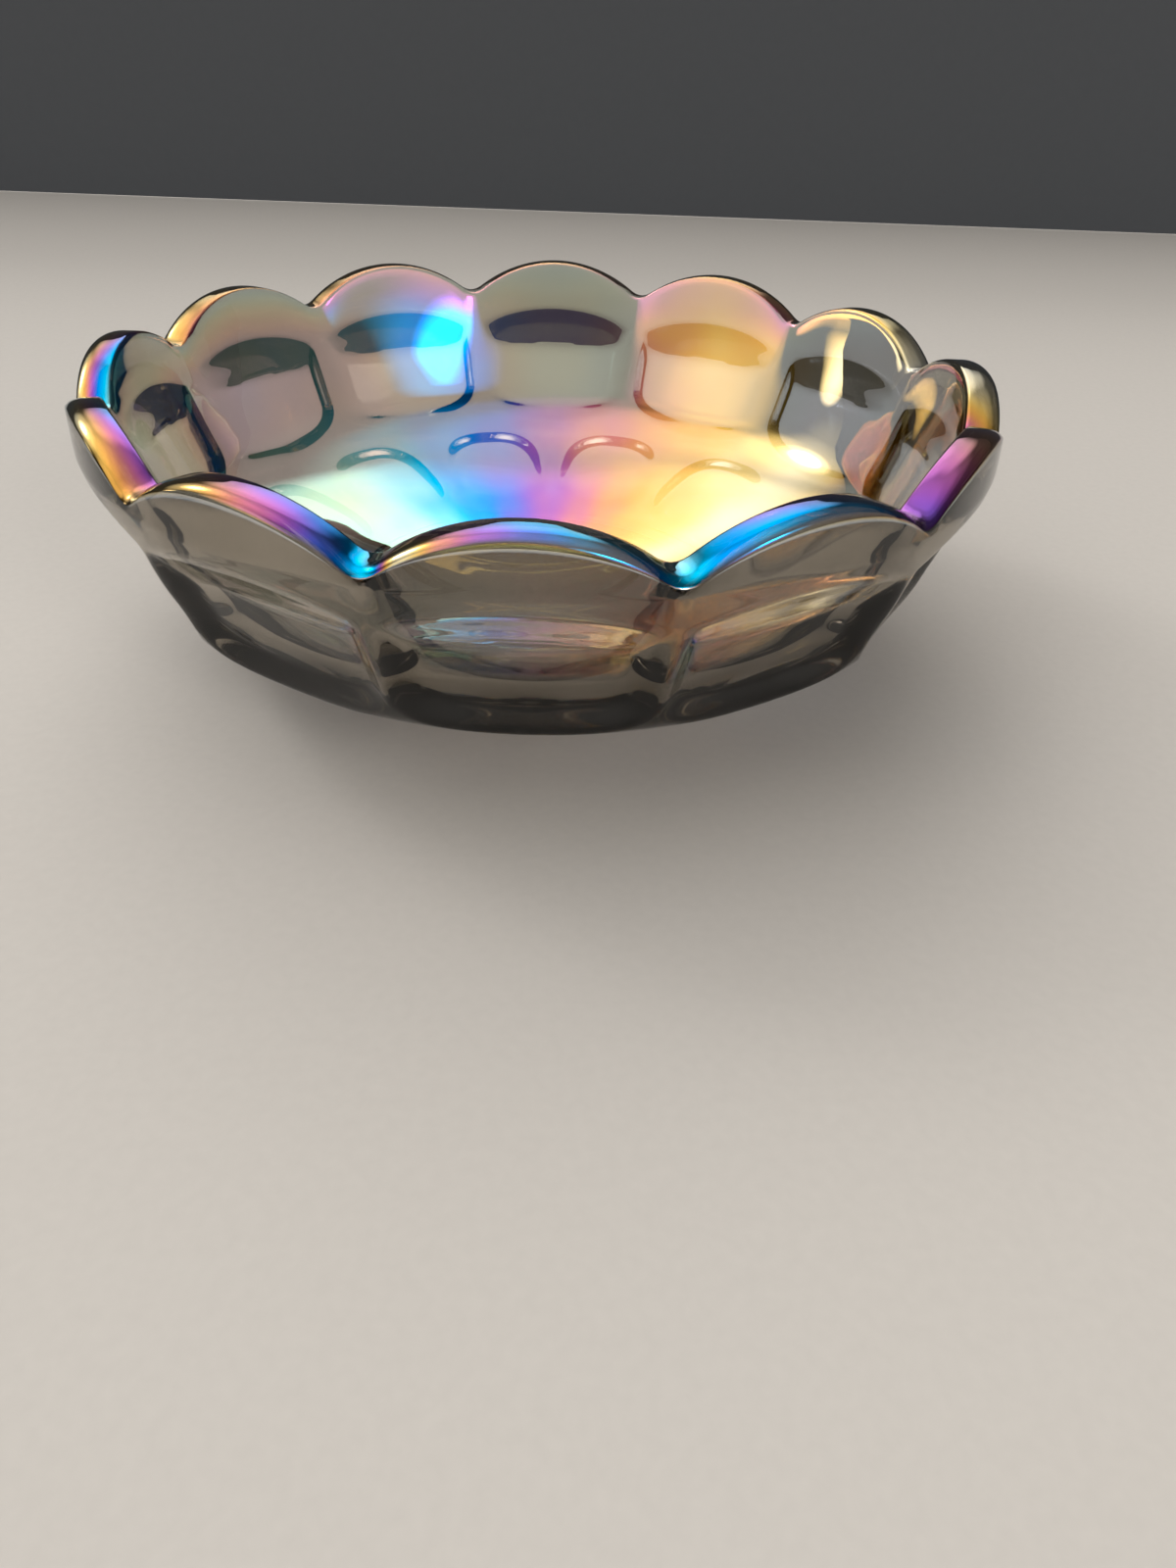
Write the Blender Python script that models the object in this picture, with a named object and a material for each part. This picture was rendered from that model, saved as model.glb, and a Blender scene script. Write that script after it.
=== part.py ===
"""Pressed glass bowl with twelve scallops and two rows of thumbprints.

One piece of glass.  The wall is turned from a half section, the rim is raised
into scallops by rule, and the thumbprints are cut from the outside.
Metres, +Z up, origin at the bottom centre of the foot.
"""

import math

import bmesh
import bpy
from mathutils import Matrix, Vector

MM = 0.001

# ---- pattern ----
SCALLOPS = 12
STEPS_PER_SCALLOP = 10
PITCH = 2.0 * math.pi / SCALLOPS

# ---- heights and radii of the wall, mm ----
VALLEY_HEIGHT = 39.0
VALLEY_RADIUS = 70.0
SEAM_DROP = 1.9
SEAM_RADIUS = 71.0
LIP_DROP = 1.0
INNER_RIM_RADIUS = 65.8
INNER_SLOPE = 0.44
INNER_LIFT_DEPTH = 12.0
FOOT_RADIUS = 34.0
FOOT_RING_WIDTH = 5.0
FOOT_RECESS = 0.5
FOOT_RECESS_EDGE = 2.0
FLOOR_HEIGHT = 3.4

# ---- scallops of the rim, mm ----
SCALLOP_ARC_RADIUS = 28.6
VALLEY_BLEND = 2.2

# ---- upper thumbprints: one under each scallop, mm ----
UPPER_TOP_RADIUS = 70.6
UPPER_TOP_DROP = 4.1
UPPER_EDGE_RADIUS = 65.1
UPPER_EDGE_DROP = 10.4
UPPER_FLOOR_SLOPE = 0.405
UPPER_FLOOR_HALF_ANGLE = math.radians(12.4)
UPPER_SIDE_HALF_ANGLE = math.radians(14.3)
UPPER_SIDE_RISE = 1.9
UPPER_ROUND_DROP = 19.0
UPPER_ROUND_LENGTH = 6.5
UPPER_ROUND_STEPS = 8
UPPER_BOTTOM_RUN = 0.8
UPPER_CLEARANCE = 8.0

# ---- lower thumbprints: one under each rib, mm ----
LOWER_CENTRE_RADIUS = 46.0
LOWER_CENTRE_DROP = 33.15
LOWER_TILT = math.radians(20.5)
LOWER_HALF_WIDTH = 11.1
LOWER_HALF_LENGTH = 12.6
LOWER_SQUARENESS = 2.7
LOWER_DEPTH = 1.5
LOWER_BEVEL = 3.0
LOWER_CLEARANCE = 3.0
LOWER_SIDES = 28


def outer_section():
    """Outer half section from the rim down to the foot, as (radius, height)."""
    v = VALLEY_HEIGHT
    return [
        (SEAM_RADIUS - 1.9, v),
        (SEAM_RADIUS - 0.95, v - 0.25),
        (SEAM_RADIUS - 0.25, v - LIP_DROP),
        (SEAM_RADIUS, v - SEAM_DROP),
        (70.4, v - 5.0),
        (69.7, v - 7.6),
        (69.0, v - 10.4),
        (67.8, v - 14.0),
        (66.5, v - 17.0),
        (65.2, v - 20.5),
        (63.0, v - 24.5),
        (59.2, v - 27.5),
        (54.6, v - 30.0),
        (48.4, v - 32.4),
        (41.2, v - 34.8),
        (35.8, v - 36.6),
        (FOOT_RADIUS + 0.5, v - 37.3),
        (FOOT_RADIUS, 0.5),
        (FOOT_RADIUS - 0.5, 0.0),
        (FOOT_RADIUS - FOOT_RING_WIDTH, 0.0),
        (FOOT_RADIUS - FOOT_RING_WIDTH - FOOT_RECESS_EDGE, FOOT_RECESS),
        (0.0, FOOT_RECESS),
    ]


def inner_section():
    """Inner half section from the middle of the floor up to the rim."""
    v = VALLEY_HEIGHT
    return [
        (0.0, FLOOR_HEIGHT),
        (10.0, FLOOR_HEIGHT + 0.3),
        (20.0, FLOOR_HEIGHT + 1.3),
        (30.0, FLOOR_HEIGHT + 3.5),
        (38.0, v - 29.7),
        (44.2, v - 27.4),
        (49.5, v - 25.0),
        (54.0, v - 22.0),
        (57.0, v - 19.0),
        (58.9, v - 15.5),
        (INNER_RIM_RADIUS - INNER_SLOPE * 12.0, v - 12.0),
        (INNER_RIM_RADIUS - INNER_SLOPE * 7.0, v - 7.0),
        (INNER_RIM_RADIUS - INNER_SLOPE * 3.0, v - 3.0),
        (INNER_RIM_RADIUS, v - 0.4),
        (INNER_RIM_RADIUS + 0.4, v),
    ]


def scallop_rise(angle):
    """Rise of the rim above the valleys at an angle round the bowl, mm."""
    wrapped = (angle + PITCH / 2.0) % PITCH - PITCH / 2.0
    along = abs(wrapped) * VALLEY_RADIUS
    half_span = PITCH / 2.0 * VALLEY_RADIUS
    blend_from = half_span - VALLEY_BLEND
    at_blend = math.sqrt(SCALLOP_ARC_RADIUS ** 2 - blend_from ** 2)
    slope = blend_from / at_blend
    valley = at_blend - slope * VALLEY_BLEND / 2.0
    if along <= blend_from:
        return math.sqrt(SCALLOP_ARC_RADIUS ** 2 - along ** 2) - valley
    left = half_span - along
    return at_blend - slope / (2.0 * VALLEY_BLEND) * (VALLEY_BLEND ** 2 - left ** 2) - valley


def lift_share(radius, drop):
    """Share of the scallops' rise that a point follows: all at the lip, fading down the hollow."""
    if radius > INNER_RIM_RADIUS + 0.2:
        return 1.0 if drop < LIP_DROP + 0.1 else 0.0
    return max(1.0 - drop / INNER_LIFT_DEPTH, 0.0) ** 2


def collection(name, hidden=False):
    """A collection of the scene, hidden from renders when it holds cutters."""
    group = bpy.data.collections.new(name)
    bpy.context.scene.collection.children.link(group)
    group.hide_render = hidden
    return group


def add_object(name, shape, group):
    """Turn a bmesh into an object of a collection."""
    mesh = bpy.data.meshes.new(name)
    shape.to_mesh(mesh)
    shape.free()
    item = bpy.data.objects.new(name, mesh)
    group.objects.link(item)
    return item


def glass():
    """Smoke grey glass with an iridescent skin."""
    material = bpy.data.materials.new("smoke_carnival_glass")
    material.use_nodes = True
    shader = material.node_tree.nodes["Principled BSDF"]
    shader.inputs["Base Color"].default_value = (0.42, 0.39, 0.34, 1.0)
    shader.inputs["Roughness"].default_value = 0.04
    shader.inputs["Metallic"].default_value = 0.0
    shader.inputs["IOR"].default_value = 1.52
    shader.inputs["Transmission Weight"].default_value = 0.9
    return material


def turned_wall():
    """The whole bowl turned from its half section, with the rim in scallops."""
    shape = bmesh.new()
    section = outer_section()[::-1] + inner_section()[::-1]
    section = [Vector((r * MM, 0.0, z * MM)) for r, z in section]
    points = [shape.verts.new(place) for place in section]
    for first, second in zip(points, points[1:]):
        shape.edges.new((first, second))
    bmesh.ops.spin(
        shape,
        geom=shape.verts[:] + shape.edges[:],
        cent=(0.0, 0.0, 0.0),
        axis=(0.0, 0.0, 1.0),
        angle=2.0 * math.pi,
        steps=SCALLOPS * STEPS_PER_SCALLOP,
        use_merge=True,
    )
    bmesh.ops.remove_doubles(shape, verts=shape.verts[:], dist=0.000001)
    for point in shape.verts:
        angle = math.atan2(point.co.y, point.co.x)
        radius = math.hypot(point.co.x, point.co.y) / MM
        drop = VALLEY_HEIGHT - point.co.z / MM
        point.co.z += scallop_rise(angle) * lift_share(radius, drop) * MM
    bmesh.ops.recalc_face_normals(shape, faces=shape.faces[:])
    for face in shape.faces:
        face.smooth = True
    return shape


def upper_outline(rise):
    """Outline of an upper thumbprint at a rise above its floor, as (radius, sideways place, drop)."""
    lean = (UPPER_TOP_RADIUS - UPPER_EDGE_RADIUS) / (UPPER_EDGE_DROP - UPPER_TOP_DROP)
    spread = math.tan(UPPER_FLOOR_HALF_ANGLE if rise == 0.0 else UPPER_SIDE_HALF_ANGLE)
    outline = []
    for side in (-1.0, 1.0):
        radius = UPPER_EDGE_RADIUS + rise
        outline.append((radius, side * radius * spread, UPPER_EDGE_DROP - rise / lean))
    for step in range(UPPER_ROUND_STEPS + 1):
        angle = math.pi * step / UPPER_ROUND_STEPS
        drop = UPPER_ROUND_DROP + UPPER_ROUND_LENGTH * math.sin(angle)
        radius = UPPER_EDGE_RADIUS - UPPER_FLOOR_SLOPE * (drop - UPPER_EDGE_DROP) + rise
        below = rise * UPPER_BOTTOM_RUN * math.sin(angle)
        outline.append((radius, radius * spread * math.cos(angle), drop + below))
    return outline


def upper_print():
    """One flat panel with a bevelled edge and a round lower end, as a cutter on the +X side."""
    shape = bmesh.new()
    for rise in (0.0, UPPER_SIDE_RISE, UPPER_CLEARANCE):
        for radius, across, drop in upper_outline(rise):
            shape.verts.new(Vector((radius, across, VALLEY_HEIGHT - drop)) * MM)
    bmesh.ops.convex_hull(shape, input=shape.verts[:])
    bmesh.ops.recalc_face_normals(shape, faces=shape.faces[:])
    return shape


def lower_print():
    """One squarish oval with bevelled edges, as a cutter on the +X side."""
    shape = bmesh.new()
    rings = (
        (-LOWER_DEPTH, -LOWER_BEVEL),
        (0.35, LOWER_BEVEL * 0.25),
        (LOWER_CLEARANCE, LOWER_BEVEL * 0.25),
    )
    for out, grow in rings:
        ring = bmesh.ops.create_circle(shape, cap_ends=False, radius=1.0, segments=LOWER_SIDES)["verts"]
        for point in ring:
            reach = abs(point.co.x) ** LOWER_SQUARENESS + abs(point.co.y) ** LOWER_SQUARENESS
            point.co /= reach ** (1.0 / LOWER_SQUARENESS)
        size = Vector((LOWER_HALF_LENGTH + grow, LOWER_HALF_WIDTH + grow, 1.0))
        bmesh.ops.scale(shape, vec=size, verts=ring)
        bmesh.ops.translate(shape, vec=(0.0, 0.0, -out), verts=ring)
    bmesh.ops.convex_hull(shape, input=shape.verts[:])
    bmesh.ops.scale(shape, vec=(MM, MM, MM), verts=shape.verts[:])
    bmesh.ops.rotate(shape, cent=(0, 0, 0), matrix=Matrix.Rotation(-LOWER_TILT, 3, "Y"), verts=shape.verts[:])
    centre = Vector((LOWER_CENTRE_RADIUS, 0.0, VALLEY_HEIGHT - LOWER_CENTRE_DROP)) * MM
    bmesh.ops.translate(shape, vec=centre, verts=shape.verts[:])
    bmesh.ops.recalc_face_normals(shape, faces=shape.faces[:])
    return shape


def ring_of(single, first_angle):
    """Copies of one cutter set evenly round the axis."""
    whole = bmesh.new()
    sample = bpy.data.meshes.new("sample")
    for index in range(SCALLOPS):
        turned = single.copy()
        turn = Matrix.Rotation(first_angle + index * PITCH, 3, "Z")
        bmesh.ops.rotate(turned, cent=(0, 0, 0), matrix=turn, verts=turned.verts[:])
        turned.to_mesh(sample)
        turned.free()
        whole.from_mesh(sample)
    single.free()
    bpy.data.meshes.remove(sample)
    return whole


def cut(item, cutter, name):
    """Cut one object from another with a live Boolean."""
    modifier = item.modifiers.new(name, "BOOLEAN")
    modifier.operation = "DIFFERENCE"
    modifier.solver = "EXACT"
    modifier.object = cutter


def main():
    """Build the bowl and its cutters."""
    for item in list(bpy.data.objects):
        bpy.data.objects.remove(item)
    body = collection("carnival_glass_bowl")
    tools = collection("cutters", hidden=True)
    bowl = add_object("bowl", turned_wall(), body)
    bowl.data.materials.append(glass())
    upper = add_object("upper_prints_cutter", ring_of(upper_print(), 0.0), tools)
    lower = add_object("lower_prints_cutter", ring_of(lower_print(), PITCH / 2.0), tools)
    for cutter in (upper, lower):
        cutter.hide_render = True
        cutter.display_type = "WIRE"
    cut(bowl, upper, "upper thumbprints")
    cut(bowl, lower, "lower thumbprints")


main()
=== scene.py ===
"""Looks of the scalloped thumbprint bowl: smoke glass with a fired iridescent film.

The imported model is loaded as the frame, and the bowl's fine glass surface is
pressed over it.  Sections are written in millimetres as (radius, drop), where
drop is the distance below the valleys of the rim; meshes are in metres.
"""

import math

import bmesh
import bpy
from mathutils import Matrix, Vector


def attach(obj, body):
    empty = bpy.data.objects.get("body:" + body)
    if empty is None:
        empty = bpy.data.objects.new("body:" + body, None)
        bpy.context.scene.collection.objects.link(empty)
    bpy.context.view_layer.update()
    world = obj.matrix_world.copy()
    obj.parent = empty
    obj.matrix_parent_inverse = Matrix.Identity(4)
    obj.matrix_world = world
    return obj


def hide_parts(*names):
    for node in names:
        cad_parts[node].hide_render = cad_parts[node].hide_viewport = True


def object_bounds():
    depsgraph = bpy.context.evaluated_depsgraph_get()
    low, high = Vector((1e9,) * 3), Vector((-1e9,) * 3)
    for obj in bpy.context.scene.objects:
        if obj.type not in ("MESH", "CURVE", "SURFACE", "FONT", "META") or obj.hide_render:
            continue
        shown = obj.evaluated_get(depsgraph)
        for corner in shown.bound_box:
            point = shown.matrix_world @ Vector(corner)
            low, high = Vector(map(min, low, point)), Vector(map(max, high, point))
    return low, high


bl_info = {
    "name": "Carnival Glass Bowl",
    "version": (1, 0, 0),
    "blender": (4, 5, 0),
    "location": "View3D > Sidebar > Glass Bowl",
    "description": "Presses a scalloped thumbprint bowl in iridescent smoke glass",
    "category": "Add Mesh",
}

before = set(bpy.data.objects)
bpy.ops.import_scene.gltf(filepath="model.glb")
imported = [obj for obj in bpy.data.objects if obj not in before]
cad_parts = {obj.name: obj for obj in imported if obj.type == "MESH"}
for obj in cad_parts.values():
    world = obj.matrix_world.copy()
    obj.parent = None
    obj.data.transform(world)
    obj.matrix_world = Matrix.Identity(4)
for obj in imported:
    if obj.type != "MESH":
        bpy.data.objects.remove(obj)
cad_low, cad_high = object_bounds()

MM = 0.001
BOWL_NODE = "bowl"
BOWL_BODY = "root"
HALF_TURN = math.pi


def linear(hex_colour):
    """An sRGB hex colour as linear red, green and blue."""
    channels = [int(hex_colour[at:at + 2], 16) / 255 for at in (1, 3, 5)]
    return tuple(c / 12.92 if c <= 0.04045 else ((c + 0.055) / 1.055) ** 2.4 for c in channels)


# ---------------------------------------------------------------- settings


class BowlSizes(bpy.types.PropertyGroup):
    """Sizes of the pressed glass."""

    scallops: bpy.props.IntProperty(
        name="Scallops", description="Scallops round the rim, with one thumbprint under each",
        default=12, min=3,
    )
    steps_per_scallop: bpy.props.IntProperty(
        name="Steps per scallop", description="Mesh steps across one scallop", default=45, min=4
    )
    seam_radius: bpy.props.FloatProperty(
        name="Seam radius", description="Widest radius, on the mould line under the rim",
        default=cad_high.x, subtype="DISTANCE", unit="LENGTH",
    )
    valley_height: bpy.props.FloatProperty(
        name="Valley height", description="Height of the rim between two scallops",
        default=0.039, subtype="DISTANCE", unit="LENGTH",
    )
    scallop_radius: bpy.props.FloatProperty(
        name="Scallop radius", description="Radius of the arc that tops each scallop",
        default=0.0286, subtype="DISTANCE", unit="LENGTH",
    )
    inner_rim_radius: bpy.props.FloatProperty(
        name="Inner rim radius", description="Radius of the hollow at the rim",
        default=0.0658, subtype="DISTANCE", unit="LENGTH",
    )
    foot_radius: bpy.props.FloatProperty(
        name="Foot radius", description="Radius of the foot that the bowl stands on",
        default=0.034, subtype="DISTANCE", unit="LENGTH",
    )
    floor_height: bpy.props.FloatProperty(
        name="Floor height", description="Height of the middle of the hollow's floor",
        default=0.0034, subtype="DISTANCE", unit="LENGTH",
    )
    oval_depth: bpy.props.FloatProperty(
        name="Oval depth", description="Depth of the lower thumbprints",
        default=0.0015, subtype="DISTANCE", unit="LENGTH",
    )


class GlassFinish(bpy.types.PropertyGroup):
    """Colours of the glass and its film."""

    smoke: bpy.props.FloatVectorProperty(
        name="Smoke", description="Colour of light after a long way through the glass",
        subtype="COLOR", size=3, min=0.0, max=1.0, default=linear("#b3a892"),
    )
    smoke_density: bpy.props.FloatProperty(
        name="Smoke density", description="How quickly the glass darkens with thickness, per metre",
        default=130.0, min=0.0,
    )
    film_low: bpy.props.FloatProperty(
        name="Thinnest film", description="Thickness of the film where it is pale, in nanometres",
        default=0.0,
    )
    film_high: bpy.props.FloatProperty(
        name="Thickest film", description="Thickness of the film where it is green, in nanometres",
        default=180.0,
    )


class StudioSettings(bpy.types.PropertyGroup):
    """Floor, backdrop and view."""

    floor_colour: bpy.props.FloatVectorProperty(
        name="Floor", description="Colour of the floor", subtype="COLOR", size=3, min=0.0, max=1.0,
        default=linear("#c4bdb4"),
    )
    backdrop_colour: bpy.props.FloatVectorProperty(
        name="Backdrop", description="Colour of the wall behind", subtype="COLOR", size=3, min=0.0, max=1.0,
        default=linear("#55575a"),
    )
    lens: bpy.props.FloatProperty(
        name="Lens", description="Focal length in millimetres", default=32.88, unit="CAMERA",
    )


# ---------------------------------------------------------------- shape rules


def smooth_through(points, spacing):
    """Points about a spacing apart on a smooth curve through the given ones."""
    points = [Vector(point) for point in points]
    way = [0.0]
    for first, second in zip(points, points[1:]):
        way.append(way[-1] + (second - first).length)
    last = len(points) - 1
    slopes = []
    for index in range(last + 1):
        before, after = max(index - 1, 0), min(index + 1, last)
        slopes.append((points[after] - points[before]) / (way[after] - way[before]))
    count = max(2, round(way[-1] / spacing))
    curve = []
    for step in range(count + 1):
        at = way[-1] * step / count
        index = max(i for i in range(last) if way[i] <= at + 1e-9)
        span = way[index + 1] - way[index]
        s = (at - way[index]) / span
        curve.append(
            points[index] * (2 * s ** 3 - 3 * s ** 2 + 1)
            + slopes[index] * (span * (s ** 3 - 2 * s ** 2 + s))
            + points[index + 1] * (3 * s ** 2 - 2 * s ** 3)
            + slopes[index + 1] * (span * (s ** 3 - s ** 2))
        )
    return curve


SEAM_DROP = 1.9
LIP_DROP = 1.0
# The outer wall from the mould line down to the foot.
WALL = (
    (70.4, 5.0), (69.7, 7.6), (69.0, 10.4), (67.8, 14.0), (66.5, 17.0), (65.2, 20.5), (63.0, 24.5),
    (59.2, 27.5), (54.6, 30.0), (48.4, 32.4), (41.2, 34.8), (35.8, 36.6),
)
# The hollow from under the lip down to its floor.
HOLLOW = (
    (64.48, 3.0), (62.72, 7.0), (60.52, 12.0), (58.9, 15.5), (57.0, 19.0), (54.0, 22.0), (49.5, 25.0),
    (44.2, 27.4), (38.0, 29.7), (30.0, 32.1), (20.0, 34.3), (10.0, 35.3),
)
# How far apart the points of each curve lie.
OUTER_SPACING = 0.5
INNER_SPACING = 1.8
FOOT_WIDTH = 5.0
FOOT_RECESS = 0.5


def half_section(sizes):
    """The half section in mm, from the middle of the hollow over the rim to the middle of the foot."""
    height = sizes.valley_height / MM
    floor = height - sizes.floor_height / MM
    inner_rim = sizes.inner_rim_radius / MM
    seam = sizes.seam_radius / MM
    foot = sizes.foot_radius / MM
    hollow = smooth_through([(0.0, floor), *reversed(HOLLOW)], INNER_SPACING)
    rim = [
        (inner_rim - 0.9, 2.0), (inner_rim - 0.5, 1.0), (inner_rim - 0.28, 0.5), (inner_rim - 0.1, 0.2),
        (inner_rim + 0.1, 0.05), (inner_rim + 0.4, 0.0), (inner_rim + 1.5, 0.0), (seam - 2.8, 0.0),
        (seam - 2.3, 0.02), (seam - 1.9, 0.07), (seam - 1.5, 0.16), (seam - 1.1, 0.31),
        (seam - 0.75, 0.52), (seam - 0.45, 0.78), (seam - 0.28, LIP_DROP), (seam - 0.2, 1.15),
        (seam - 0.1, 1.5), (seam - 0.03, 1.75),
    ]
    wall = smooth_through([(seam, SEAM_DROP), *WALL, (foot + 0.5, height - 1.7)], OUTER_SPACING)
    recess = height - FOOT_RECESS
    base = [
        (foot + 0.15, height - 1.0), (foot, height - 0.5), (foot - 0.15, height - 0.15),
        (foot - 0.5, height), (foot - FOOT_WIDTH, height),
        (foot - FOOT_WIDTH - 1.0, (height + recess) / 2), (foot - FOOT_WIDTH - 2.0, recess),
        (foot - 20.0, recess), (0.0, recess),
    ]
    return [tuple(point) for point in hollow] + rim + [tuple(point) for point in wall] + base


RIM_RADIUS = 70.0
VALLEY_BLEND = 2.2


def scallop_rise(sizes, angle):
    """Rise in mm of the rim above its valleys, at an angle round the bowl."""
    pitch = 2 * HALF_TURN / sizes.scallops
    arc = sizes.scallop_radius / MM
    half_span = pitch / 2 * RIM_RADIUS
    along = abs((angle + pitch / 2) % pitch - pitch / 2) * RIM_RADIUS
    blend_from = half_span - VALLEY_BLEND
    at_blend = math.sqrt(arc ** 2 - blend_from ** 2)
    steepness = blend_from / at_blend
    valley = at_blend - steepness * VALLEY_BLEND / 2
    if along <= blend_from:
        return math.sqrt(arc ** 2 - along ** 2) - valley
    left = half_span - along
    return at_blend - steepness / (2 * VALLEY_BLEND) * (VALLEY_BLEND ** 2 - left ** 2) - valley


def soft_max(a, b, softness):
    """The larger of two values, rounded where they meet."""
    share = min(max(0.5 + 0.5 * (a - b) / softness, 0.0), 1.0)
    return b * (1 - share) + a * share + softness * share * (1 - share)


def soft_min(a, b, softness):
    """The smaller of two values, rounded where they meet."""
    return -soft_max(-a, -b, softness)


# The tall flat thumbprints, one under each scallop.
PANEL_TOP = (70.6, 4.1)
PANEL_EDGE = (65.1, 10.4)
PANEL_SLOPE = 0.405
PANEL_HALF_ANGLE = math.radians(12.4)
PANEL_SIDE_RUN = 1.4
PANEL_ROUND_FROM = 19.0
PANEL_ROUND_LENGTH = 6.5
PANEL_SOFTNESS = 0.45


def panel_cut(sizes, radius, drop, angle):
    """How deep in mm a tall flat thumbprint lies under a point of the outer wall, below zero outside it."""
    pitch = 2 * HALF_TURN / sizes.scallops
    turn = (angle + pitch / 2) % pitch - pitch / 2
    out = radius * math.cos(turn)
    across = abs(radius * math.sin(turn))
    floor = (out - (PANEL_EDGE[0] - PANEL_SLOPE * (drop - PANEL_EDGE[1]))) / math.hypot(1.0, PANEL_SLOPE)
    lean = (PANEL_TOP[0] - PANEL_EDGE[0]) / (PANEL_EDGE[1] - PANEL_TOP[1])
    top = (out - (PANEL_EDGE[0] + (PANEL_EDGE[1] - drop) * lean)) / math.hypot(1.0, lean)
    half_width = math.tan(PANEL_HALF_ANGLE) * out
    reach = math.hypot(across / half_width, max(drop - PANEL_ROUND_FROM, 0.0) / PANEL_ROUND_LENGTH)
    side = (floor - (reach - 1) * half_width / PANEL_SIDE_RUN) / math.hypot(1.0, 1.0 / PANEL_SIDE_RUN)
    return soft_min(soft_min(floor, top, PANEL_SOFTNESS), side, PANEL_SOFTNESS)


# The lower squarish ovals, one under each rib.
OVAL_RADIUS = 46.0
OVAL_DROP = 33.15
OVAL_TILT = math.radians(20.5)
OVAL_HALF_WIDTH = 11.1
OVAL_HALF_LENGTH = 12.6
OVAL_SQUARENESS = 2.7
OVAL_BEVEL = 3.0
OVAL_SOFTNESS = 0.4
OVALS_FROM_DROP = 22.0
FOOT_EDGE_HEIGHT = 0.9


def oval_cut(sizes, radius, drop, angle):
    """How deep in mm a lower oval thumbprint lies under a point, below zero outside it."""
    pitch = 2 * HALF_TURN / sizes.scallops
    turn = angle % pitch - pitch / 2
    out = radius * math.cos(turn) - OVAL_RADIUS
    up = OVAL_DROP - drop
    depth = sizes.oval_depth / MM
    along = out * math.cos(OVAL_TILT) + up * math.sin(OVAL_TILT)
    above = out * math.sin(OVAL_TILT) - up * math.cos(OVAL_TILT)
    across = radius * math.sin(turn)
    reach = abs(along / OVAL_HALF_LENGTH) ** OVAL_SQUARENESS
    reach += abs(across / OVAL_HALF_WIDTH) ** OVAL_SQUARENESS
    reach **= 1 / OVAL_SQUARENESS
    rise = depth / OVAL_BEVEL
    side = (above - (reach - 1) * OVAL_HALF_WIDTH * rise) / math.hypot(1.0, rise)
    return soft_min(above + depth, side, OVAL_SOFTNESS)


def press_thumbprints(shape, sizes):
    """Push the outer wall in where the thumbprints are."""
    height = sizes.valley_height / MM
    foot_from = height - FOOT_EDGE_HEIGHT
    moves = []
    for point in shape.verts:
        radius = math.hypot(point.co.x, point.co.y) / MM
        drop = height - point.co.z / MM
        facing_out = point.normal.x * point.co.x + point.normal.y * point.co.y > 0
        if not (facing_out and SEAM_DROP + 0.01 < drop < foot_from):
            continue
        angle = math.atan2(point.co.y, point.co.x)
        depth = soft_max(panel_cut(sizes, radius, drop, angle), 0.0, PANEL_SOFTNESS)
        if drop > OVALS_FROM_DROP:
            depth = max(depth, soft_max(oval_cut(sizes, radius, drop, angle), 0.0, OVAL_SOFTNESS))
        moves.append((point, point.normal * (-depth * MM)))
    for point, move in moves:
        point.co += move


HOLLOW_LIFT_DEPTH = 12.0
LIP_INNER_EDGE = 0.3


def raise_scallops(shape, sizes):
    """Lift the rim's lip into scallops, fading out at the mould line and smoothly down the hollow."""
    height = sizes.valley_height / MM
    lip_from = sizes.inner_rim_radius + LIP_INNER_EDGE * MM
    for point in shape.verts:
        drop = height - point.co.z / MM
        radius = math.hypot(point.co.x, point.co.y)
        if radius > lip_from:
            share = min(max((SEAM_DROP - drop) / (SEAM_DROP - LIP_DROP), 0.0), 1.0)
        else:
            share = max(1 - drop / HOLLOW_LIFT_DEPTH, 0.0) ** 2
        if share > 0:
            angle = math.atan2(point.co.y, point.co.x)
            point.co.z += scallop_rise(sizes, angle) * share * MM


# How thick the film is, as a share from thinnest to thickest.  About 0.45 shines gold, 0.52 rose,
# 0.58 violet, 0.65 blue and 0.8 green.  Places are degrees from the right (0) towards the back (90).
# In the hollow, as (degrees, share).
FILM_HOLLOW = (
    (-180, 0.60), (-150, 0.50), (-128, 0.47), (-104, 0.45), (-76, 0.44), (-50, 0.46), (-30, 0.50),
    (-10, 0.48), (10, 0.45), (28, 0.39), (42, 0.43), (56, 0.45), (68, 0.465), (78, 0.50),
    (90, 0.54), (105, 0.58), (119, 0.635), (132, 0.72), (145, 0.79), (165, 0.80), (180, 0.60),
)
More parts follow.
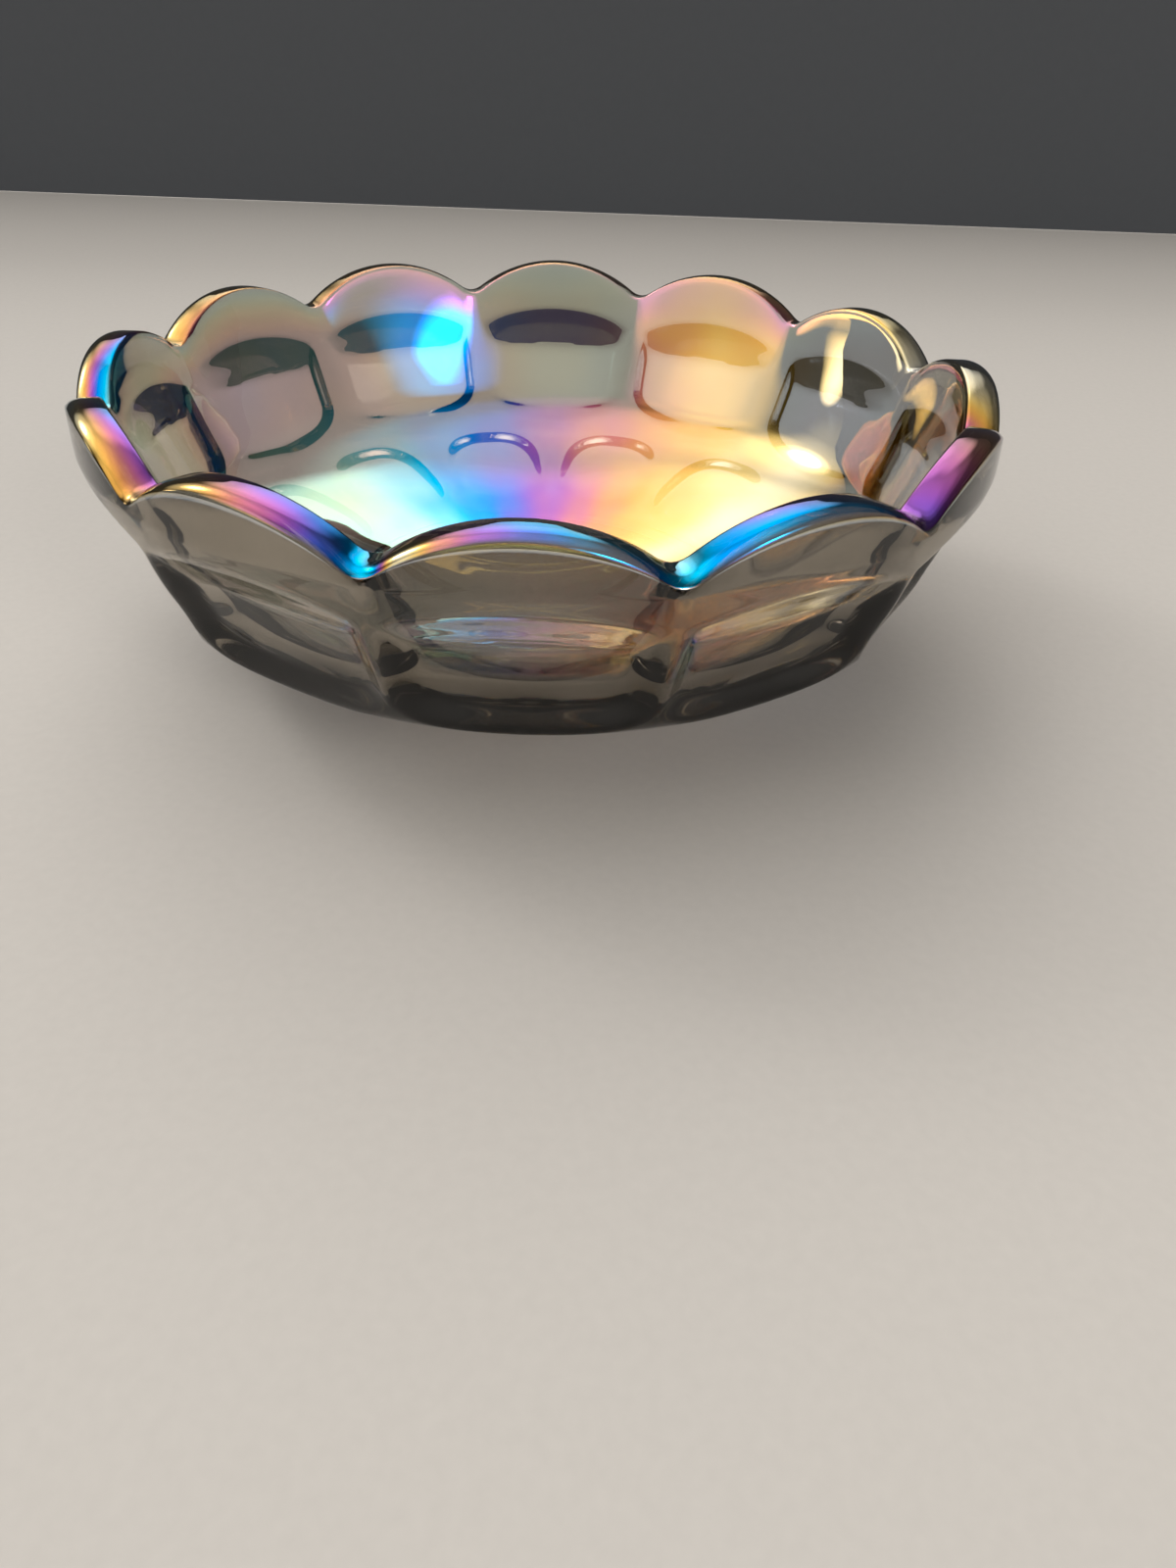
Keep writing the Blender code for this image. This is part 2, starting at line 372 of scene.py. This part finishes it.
# On the lip, as (degrees, share at its outer side, share at its inner side).
FILM_LIP = (
    (-180, 0.40, 0.62), (-165, 0.40, 0.76), (-152, 0.41, 0.72), (-140, 0.44, 0.54), (-125, 0.46, 0.56),
    (-115, 0.50, 0.60), (-108, 0.57, 0.64), (-104, 0.68, 0.72), (-101, 0.37, 0.60), (-97, 0.49, 0.62),
    (-93, 0.54, 0.66), (-89, 0.58, 0.70), (-84, 0.65, 0.74), (-78, 0.61, 0.74), (-75, 0.68, 0.76),
    (-71, 0.60, 0.62), (-66, 0.66, 0.56), (-54, 0.64, 0.55), (-46, 0.57, 0.54), (-38, 0.53, 0.54),
    (-30, 0.50, 0.54), (-22, 0.61, 0.68), (-16, 0.46, 0.56), (-5, 0.36, 0.38), (15, 0.33, 0.36),
    (30, 0.45, 0.48), (45, 0.47, 0.52), (60, 0.44, 0.48), (75, 0.50, 0.53), (90, 0.45, 0.48),
    (105, 0.46, 0.50), (120, 0.44, 0.48), (135, 0.45, 0.50), (150, 0.43, 0.48), (172, 0.43, 0.49),
    (180, 0.40, 0.62),
)
FILM_OUTSIDE = 0.04
LOWEST_FILM = 37.0
LIP_FILM_REACH = 5.0
LIP_FILM_STEEPNESS = 1.2


def along_table(table, at):
    """The values of a table of (place, value, ...) rows at a place, eased between its rows."""
    index = max(i for i in range(len(table) - 1) if table[i][0] <= at)
    (first, *low), (second, *high) = table[index], table[index + 1]
    way = (at - first) / (second - first)
    way = way * way * (3 - 2 * way)
    return [start + (end - start) * way for start, end in zip(low, high)]


def film_share(sizes, point, facing_out):
    """Share of the film's range at a point: full in the hollow and on the lip, thin on the outside."""
    drop = (sizes.valley_height - point.z) / MM
    if drop > (LIP_DROP + 0.01 if facing_out else LOWEST_FILM):
        return FILM_OUTSIDE
    degrees = math.degrees(math.atan2(point.y, point.x))
    outer, inner = along_table(FILM_LIP, degrees)
    radius = math.hypot(point.x, point.y)
    if radius < sizes.inner_rim_radius:
        near_lip = max(1 - drop / LIP_FILM_REACH, 0.0)
        hollow = along_table(FILM_HOLLOW, degrees)[0]
        return hollow + near_lip * (inner - hollow)
    across = (radius - sizes.inner_rim_radius) / (sizes.seam_radius - sizes.inner_rim_radius)
    return inner + (outer - inner) * min(across * LIP_FILM_STEEPNESS, 1.0)


def turned_glass(sizes):
    """The bowl turned from its half section, with scallops raised and thumbprints pressed."""
    shape = bmesh.new()
    height = sizes.valley_height / MM
    points = [shape.verts.new(Vector((r, 0.0, height - d)) * MM) for r, d in half_section(sizes)]
    for first, second in zip(points, points[1:]):
        shape.edges.new((first, second))
    bmesh.ops.spin(
        shape, geom=shape.verts[:] + shape.edges[:], cent=(0, 0, 0), axis=(0, 0, 1), angle=2 * HALF_TURN,
        steps=sizes.scallops * sizes.steps_per_scallop, use_merge=True,
    )
    bmesh.ops.remove_doubles(shape, verts=shape.verts[:], dist=0.01 * MM)
    bmesh.ops.recalc_face_normals(shape, faces=shape.faces[:])
    shape.normal_update()
    film = shape.verts.layers.float.new("film")
    for point in shape.verts:
        facing_out = point.normal.x * point.co.x + point.normal.y * point.co.y > 0
        point[film] = film_share(sizes, point.co, facing_out)
    press_thumbprints(shape, sizes)
    raise_scallops(shape, sizes)
    shape.normal_update()
    return shape


# ---------------------------------------------------------------- materials


def add_node(tree, kind, settings=None, inputs=None, links=None):
    """Add a node, set its properties and sockets, and link other nodes' outputs into it."""
    node = tree.nodes.new(kind)
    for name, value in (settings or {}).items():
        setattr(node, name, value)
    for name, value in (inputs or {}).items():
        node.inputs[name].default_value = value
    for name, output in (links or {}).items():
        tree.links.new(output, node.inputs[name])
    return node


def new_material(name):
    """An empty node material and its output node."""
    material = bpy.data.materials.new(name)
    material.use_nodes = True
    material.node_tree.nodes.clear()
    return material, add_node(material.node_tree, "ShaderNodeOutputMaterial")


def smoke_carnival_glass(finish):
    """Pressed soda-lime glass, smoke tinted, sprayed hot with metal salts.

    The glass is clear and darkens where it is thick.  The film is a fraction of a
    micron thick and gives gold, rose, violet, blue and green sheens where light
    is mirrored in it; its thickness drifts round the bowl, and the outside has
    hardly any.  The skin keeps the faint ripple of glass chilled in its mould.
    """
    material, output = new_material("smoke_glass_with_fired_iridescent_film")
    tree = material.node_tree
    where = add_node(tree, "ShaderNodeTexCoord").outputs["Object"]
    painted = add_node(tree, "ShaderNodeAttribute", {"attribute_name": "film"}).outputs["Fac"]
    drift = add_node(
        tree, "ShaderNodeTexNoise", inputs={"Scale": 1 / (24 * MM), "Detail": 2.0, "Roughness": 0.45},
        links={"Vector": where},
    )
    drift_share = add_node(
        tree, "ShaderNodeMapRange",
        inputs={"From Min": 0.3, "From Max": 0.7, "To Min": 0.95, "To Max": 1.05},
        links={"Value": drift.outputs["Fac"]},
    )
    film = add_node(
        tree, "ShaderNodeMath", {"operation": "MULTIPLY"}, links={0: painted, 1: drift_share.outputs[0]}
    )
    thickness = add_node(
        tree, "ShaderNodeMapRange", inputs={"To Min": finish.film_low, "To Max": finish.film_high},
        links={"Value": film.outputs[0]},
    )
    thickness.clamp = False
    ripple = add_node(
        tree, "ShaderNodeTexNoise", inputs={"Scale": 1 / (7 * MM), "Detail": 1.0}, links={"Vector": where}
    )
    skin = add_node(
        tree, "ShaderNodeBump", inputs={"Strength": 0.5, "Distance": 0.03 * MM},
        links={"Height": ripple.outputs["Fac"]},
    )
    glass = add_node(
        tree, "ShaderNodeBsdfPrincipled",
        inputs={
            "Base Color": (0.93, 0.92, 0.9, 1.0), "Roughness": 0.015, "IOR": 1.52,
            "Transmission Weight": 1.0, "Thin Film IOR": 2.8,
        },
        links={"Thin Film Thickness": thickness.outputs[0], "Normal": skin.outputs[0]},
    )
    smoke = add_node(
        tree, "ShaderNodeVolumeAbsorption",
        inputs={"Color": (*finish.smoke, 1.0), "Density": finish.smoke_density},
    )
    tree.links.new(glass.outputs[0], output.inputs["Surface"])
    tree.links.new(smoke.outputs[0], output.inputs["Volume"])
    return material


def matt_paint(name, colour, grain):
    """Plain matt board of the studio, with a faint grain of a given size in metres."""
    material, output = new_material(name)
    tree = material.node_tree
    where = add_node(tree, "ShaderNodeTexCoord").outputs["Object"]
    noise = add_node(
        tree, "ShaderNodeTexNoise", inputs={"Scale": 1 / grain, "Detail": 3.0}, links={"Vector": where}
    )
    tone = add_node(
        tree, "ShaderNodeMapRange", inputs={"To Min": 0.96, "To Max": 1.04},
        links={"Value": noise.outputs["Fac"]},
    )
    shade = add_node(
        tree, "ShaderNodeVectorMath", {"operation": "SCALE"}, inputs={0: colour},
        links={"Scale": tone.outputs[0]},
    )
    board = add_node(
        tree, "ShaderNodeBsdfPrincipled", inputs={"Roughness": 0.85}, links={"Base Color": shade.outputs[0]}
    )
    tree.links.new(board.outputs[0], output.inputs["Surface"])
    return material


# ---------------------------------------------------------------- making


def add_piece(name, shape, material):
    """Turn a bmesh into a smooth object of the scene with one material."""
    mesh = bpy.data.meshes.new(name)
    shape.to_mesh(mesh)
    shape.free()
    mesh.shade_smooth()
    mesh.materials.append(material)
    piece = bpy.data.objects.new(name, mesh)
    bpy.context.scene.collection.objects.link(piece)
    return piece


class GLASS_OT_bowl(bpy.types.Operator):
    """Press the bowl in smoke glass and give it its iridescent film"""

    bl_idname = "glass.bowl"
    bl_label = "Glass bowl"

    def execute(self, context):
        scene = context.scene
        glass = smoke_carnival_glass(scene.glass_finish)
        bowl = add_piece("bowl_glass", turned_glass(scene.bowl_sizes), glass)
        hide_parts(BOWL_NODE)
        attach(bowl, BOWL_BODY)
        return {"FINISHED"}


# Brightness of the studio's air as (height of the direction, level), brighter overhead.
AIR_LEVELS = ((0.0, 0.07), (0.3, 0.1), (0.6, 0.16), (1.0, 0.25))
# Soft lights let into the dome, as (direction, ((nearness to the middle, level), ...)).
DOME_LIGHTS = (
    ((-0.26, 0.17, 0.94), ((0.62, 0.0), (0.79, 0.35), (0.92, 1.0), (1.0, 1.25))),
    ((-0.50, 0.18, 0.85), ((0.84, 0.0), (0.95, 0.5), (0.99, 0.9))),
    ((-0.763, -0.422, 0.49), ((0.88, 0.0), (0.95, 1.0), (1.0, 1.7))),
    ((-0.06, 0.80, 0.60), ((0.89, 0.0), (0.96, 1.7), (1.0, 2.8))),
    ((-0.71, 0.43, 0.556), ((0.927, 0.0), (0.978, 1.0), (0.994, 3.2), (0.9975, 12.0))),
    ((0.57, -0.70, 0.43), ((0.93, 0.0), (0.985, 1.2), (0.99692, 8.0))),
    ((-0.95, 0.25, 0.17), ((0.9988, 0.0), (0.9996, 4.0))),
)


def grey_ramp(tree, levels, value):
    """A smooth grey colour ramp through the given levels."""
    ramp_node = add_node(tree, "ShaderNodeValToRGB", links={"Fac": value})
    ramp = ramp_node.color_ramp
    ramp.interpolation = "EASE"
    while len(ramp.elements) < len(levels):
        ramp.elements.new(0.5)
    for element, (place, level) in zip(ramp.elements, levels):
        element.position = place
        element.color = (level, level, level, 1.0)
    return ramp_node.outputs["Color"]


def studio_air():
    """A dome of soft light, brighter towards the top, with softer and harder lights let into it."""
    world = bpy.data.worlds.new("studio_air")
    world.use_nodes = True
    tree = world.node_tree
    tree.nodes.clear()
    way = add_node(tree, "ShaderNodeTexCoord").outputs["Generated"]
    height = add_node(tree, "ShaderNodeSeparateXYZ", links={"Vector": way}).outputs["Z"]
    light = grey_ramp(tree, AIR_LEVELS, height)
    for direction, levels in DOME_LIGHTS:
        middle = Vector(direction).normalized()
        near = add_node(
            tree, "ShaderNodeVectorMath", {"operation": "DOT_PRODUCT"}, inputs={1: middle}, links={0: way}
        )
        glow = grey_ramp(tree, levels, near.outputs["Value"])
        both = add_node(tree, "ShaderNodeVectorMath", {"operation": "ADD"}, links={0: light, 1: glow})
        light = both.outputs[0]
    air = add_node(tree, "ShaderNodeBackground", inputs={"Strength": 1.0}, links={"Color": light})
    output = add_node(tree, "ShaderNodeOutputWorld")
    tree.links.new(air.outputs[0], output.inputs["Surface"])
    return world


# The studio's boards and camera, in metres and degrees.
FLOOR_HALF_SIZE = 1.5
FLOOR_PLACE = (0.0, -1.0, -0.0002)
FLOOR_GRAIN = 1.5 * MM
BACKDROP_HALF_SIZE = (1.5, 0.12)
BACKDROP_PLACE = (0.0, 0.42, 0.12)
BACKDROP_GRAIN = 4 * MM
CAMERA_PLACE = (0.0062, -0.1770, 0.0916)
CAMERA_TURN = (53.251, -1.846, 0.283)
SENSOR_WIDTH = 36.0


def studio_board(name, shape, place, paint):
    """A flat board of the studio, moved to its place."""
    bmesh.ops.translate(shape, vec=place, verts=shape.verts[:])
    return add_piece(name, shape, paint)


class GLASS_OT_studio(bpy.types.Operator):
    """Lay the pale floor, light the air and set the camera"""

    bl_idname = "glass.studio"
    bl_label = "Studio"

    def execute(self, context):
        scene = context.scene
        studio = scene.glass_studio
        shape = bmesh.new()
        bmesh.ops.create_grid(shape, x_segments=1, y_segments=1, size=FLOOR_HALF_SIZE)
        paint = matt_paint("pale_matt_board", studio.floor_colour, FLOOR_GRAIN)
        floor = studio_board("studio_floor", shape, FLOOR_PLACE, paint)
        shape = bmesh.new()
        bmesh.ops.create_grid(shape, x_segments=1, y_segments=1, size=1.0)
        bmesh.ops.scale(shape, vec=(*BACKDROP_HALF_SIZE, 1.0), verts=shape.verts[:])
        upright = Matrix.Rotation(HALF_TURN / 2, 3, "X")
        bmesh.ops.rotate(shape, cent=(0, 0, 0), matrix=upright, verts=shape.verts[:])
        paint = matt_paint("grey_backdrop", studio.backdrop_colour, BACKDROP_GRAIN)
        wall = studio_board("studio_backdrop", shape, BACKDROP_PLACE, paint)
        scene.world = studio_air()
        camera = bpy.data.cameras.new("camera")
        camera.lens = studio.lens
        camera.sensor_width = SENSOR_WIDTH
        camera.sensor_fit = "HORIZONTAL"
        camera.clip_start = MM
        viewer = bpy.data.objects.new("camera", camera)
        scene.collection.objects.link(viewer)
        viewer.location = CAMERA_PLACE
        viewer.rotation_euler = [math.radians(angle) for angle in CAMERA_TURN]
        scene.camera = viewer
        scene.view_settings.view_transform = "Standard"
        return {"FINISHED"}


class GLASS_PT_panel(bpy.types.Panel):
    """Lists the operators of the bowl"""

    bl_label = "Glass Bowl"
    bl_idname = "GLASS_PT_panel"
    bl_space_type = "VIEW_3D"
    bl_region_type = "UI"
    bl_category = "Glass Bowl"

    def draw(self, context):
        layout = self.layout
        for group in (context.scene.bowl_sizes, context.scene.glass_finish, context.scene.glass_studio):
            box = layout.box()
            for name in group.__annotations__:
                box.prop(group, name)
        for operator in (GLASS_OT_bowl, GLASS_OT_studio):
            layout.operator(operator.bl_idname)


CLASSES = (BowlSizes, GlassFinish, StudioSettings, GLASS_OT_bowl, GLASS_OT_studio, GLASS_PT_panel)


def register():
    """Register the classes and their settings."""
    for item in CLASSES:
        bpy.utils.register_class(item)
    bpy.types.Scene.bowl_sizes = bpy.props.PointerProperty(type=BowlSizes)
    bpy.types.Scene.glass_finish = bpy.props.PointerProperty(type=GlassFinish)
    bpy.types.Scene.glass_studio = bpy.props.PointerProperty(type=StudioSettings)


def unregister():
    """Take the settings and classes away again."""
    del bpy.types.Scene.glass_studio
    del bpy.types.Scene.glass_finish
    del bpy.types.Scene.bowl_sizes
    for item in reversed(CLASSES):
        bpy.utils.unregister_class(item)


def main():
    """Make the bowl and the studio."""
    register()
    bpy.ops.glass.bowl()
    bpy.ops.glass.studio()


if __name__ == "__main__":
    main()
